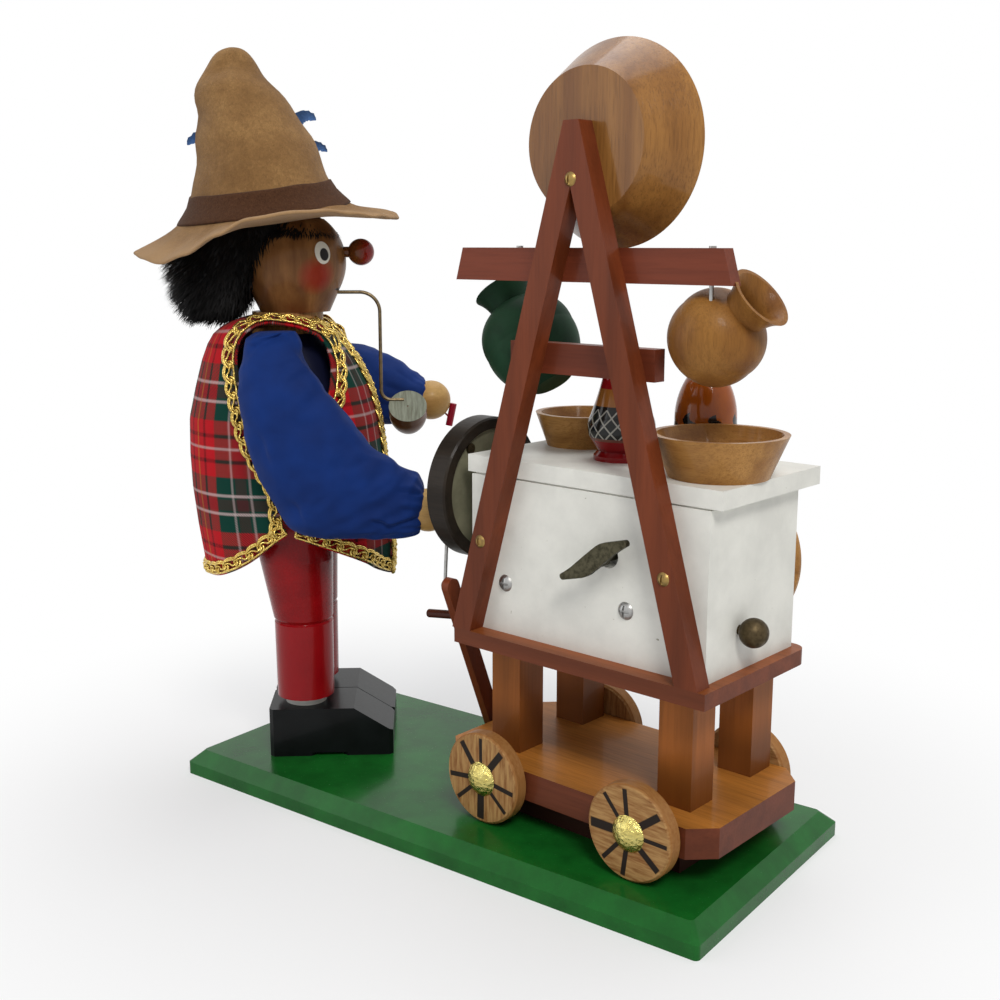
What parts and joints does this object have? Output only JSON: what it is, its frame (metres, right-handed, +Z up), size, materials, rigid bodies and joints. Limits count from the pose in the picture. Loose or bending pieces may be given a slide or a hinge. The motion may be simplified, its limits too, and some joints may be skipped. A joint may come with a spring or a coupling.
{
  "type": "german incense smoker",
  "caption": "Turned wooden incense smoker in a felt hat at a treadle grinding cart with a key-wound musical case, hung with pots and bowls, on a board.",
  "frame": {"origin": "middle of the base board's underside", "axes": "+X along the board towards the cart, +Y away from the winding key's side, +Z up"},
  "size_m": [0.3084, 0.1377, 0.3262],
  "materials": {
    "board_green": "gloss paint",
    "beech_brown": "stained",
    "frame_brown": "stained",
    "case_white": "painted, chipped",
    "hidden_black": "painted",
    "beech_pale": "varnished",
    "wheel_beech": "painted spokes",
    "tan_wood": "stained",
    "jug_green": "matt paint",
    "vase_lacquer": "gloss paint",
    "vase_orange": "gloss paint",
    "brass": "worn",
    "steel": "bright",
    "bright_screw": "bright",
    "bronze_dark": "browned",
    "ring_dark": "stained",
    "stone_grey": "painted",
    "shoe_black": "gloss paint",
    "trouser_red": "gloss paint",
    "face_wood": "waxed",
    "hand_wood": "waxed",
    "nose_red": "painted",
    "fur_black": "fur",
    "felt_olive": "felt",
    "band_brown": "ribbon",
    "tartan": "woven",
    "shirt_blue": "woven",
    "pipe_wood": "stained",
    "stick_red": "gloss paint"
  },
  "bodies": {
    "stand": {"base_board": "board_green", "shoes": "shoe_black", "shins": "trouser_red", "thighs": "trouser_red", "hip_block": "trouser_red", "incense_dish": "brass", "cart_chassis": "beech_brown", "cart_support_block": "hidden_black", "cart_posts": "beech_brown", "cart_tray": "beech_brown", "case_near_wall": "case_white", "case_far_wall": "case_white", "case_end_walls": "case_white", "case_lid": "case_white", "frame_legs": "frame_brown", "upper_rail": "frame_brown", "lower_rail": "frame_brown", "large_pan": "beech_pale", "green_jug": "jug_green", "tan_jug": "tan_wood", "bowl_right": "beech_pale", "bowl_left": "beech_pale", "lattice_vase": "vase_lacquer", "flame_vase": "vase_orange", "wall_plate": "beech_pale", "frame_screws": "brass", "rail_brads": "steel", "movement_screws": "bright_screw", "hub_nails": "bronze_dark", "movement_bedplate": "steel", "tone_comb": "steel", "treadle_pivot": "steel"},
    "grinding_wheel": {"grinding_ring": "ring_dark", "grinding_disc": "stone_grey", "crank_nail": "bronze_dark", "drive_shaft": "steel"},
    "drum": {"pinned_cylinder": "brass"},
    "barrel": {"spring_barrel": "brass"},
    "fly": {"governor": "brass"},
    "key": {"winding_key": "bronze_dark"},
    "knob": {"stop_knob": "bronze_dark"},
    "treadle": {"treadle_arm": "beech_brown", "foot_peg": "frame_brown"},
    "rod": {"connecting_rod": "steel"},
    "wheel_near_left": {"cart_wheel_near_left": "wheel_beech"},
    "wheel_near_right": {"cart_wheel_near_right": "wheel_beech"},
    "wheel_far_left": {"cart_wheel_far_left": "wheel_beech"},
    "wheel_far_right": {"cart_wheel_far_right": "wheel_beech"},
    "upper_figure": {"torso": "face_wood", "head": "face_wood", "nose": "nose_red", "hair": "fur_black", "hat": "felt_olive", "hat_band": "band_brown", "vest": "tartan", "sleeves": "shirt_blue", "hands": "hand_wood", "hand_tool": "stick_red", "pipe_stem": "brass", "pipe_bowl": "pipe_wood"}
  },
  "joints": [
    {"name": "grinding_spin", "type": "hinge", "parent": "stand", "child": "grinding_wheel", "pos_m": [-0.00551, 0.00051, 0.143], "axis": [0.9963, -0.0854, 0], "continuous": true},
    {"name": "drum_spin", "type": "hinge", "parent": "stand", "child": "drum", "pos_m": [0.0443, -0.00376, 0.13], "axis": [0.9963, -0.0854, 0], "continuous": true},
    {"name": "barrel_spin", "type": "hinge", "parent": "stand", "child": "barrel", "pos_m": [0.07626, -0.01503, 0.13], "axis": [0.0854, 0.9963, 0], "continuous": true},
    {"name": "fly_spin", "type": "hinge", "parent": "stand", "child": "fly", "pos_m": [0.05036, 0.00837, 0.13], "axis": [0.9963, -0.0854, 0], "continuous": true},
    {"name": "key_turn", "type": "hinge", "parent": "stand", "child": "key", "pos_m": [0.07438, -0.03695, 0.13], "axis": [0.0854, 0.9963, 0], "continuous": true},
    {"name": "knob_pull", "type": "slide", "parent": "stand", "child": "knob", "axis": [0.9963, -0.0854, 0], "range_m": [0, 0.004]},
    {"name": "treadle_rock", "type": "hinge", "parent": "stand", "child": "treadle", "pos_m": [-0.00907, 0.01176, 0.0305], "axis": [0.9963, -0.0854, 0], "range_deg": [-11.5, 31]},
    {"name": "rod_swing", "type": "hinge", "parent": "treadle", "child": "rod", "pos_m": [-0.01454, -0.01584, 0.10149], "axis": [0.9963, -0.0854, 0], "range_deg": [-50, 19]},
    {"name": "upper_lift", "type": "slide", "parent": "stand", "child": "upper_figure", "axis": [0, 0, 1], "range_m": [0, 0.035]},
    {"name": "wheel_near_left_spin", "type": "hinge", "parent": "stand", "child": "wheel_near_left", "pos_m": [0.02308, -0.03586, 0.0306], "axis": [0.0854, 0.9963, 0], "continuous": true},
    {"name": "wheel_near_right_spin", "type": "hinge", "parent": "stand", "child": "wheel_near_right", "pos_m": [0.09681, -0.04218, 0.0306], "axis": [0.0854, 0.9963, 0], "continuous": true},
    {"name": "wheel_far_left_spin", "type": "hinge", "parent": "stand", "child": "wheel_far_left", "pos_m": [0.02997, 0.04444, 0.0306], "axis": [0.0854, 0.9963, 0], "continuous": true},
    {"name": "wheel_far_right_spin", "type": "hinge", "parent": "stand", "child": "wheel_far_right", "pos_m": [0.1037, 0.03812, 0.0306], "axis": [0.0854, 0.9963, 0], "continuous": true}
  ],
  "couplings": [
    {"joint": "drum_spin", "follows": "grinding_spin", "ratio": -1},
    {"joint": "barrel_spin", "follows": "grinding_spin", "ratio": 0.29412},
    {"joint": "fly_spin", "follows": "grinding_spin", "ratio": 2.5},
    {"joint": "rod_swing", "follows": "treadle_rock", "ratio": -1.6}
  ]
}
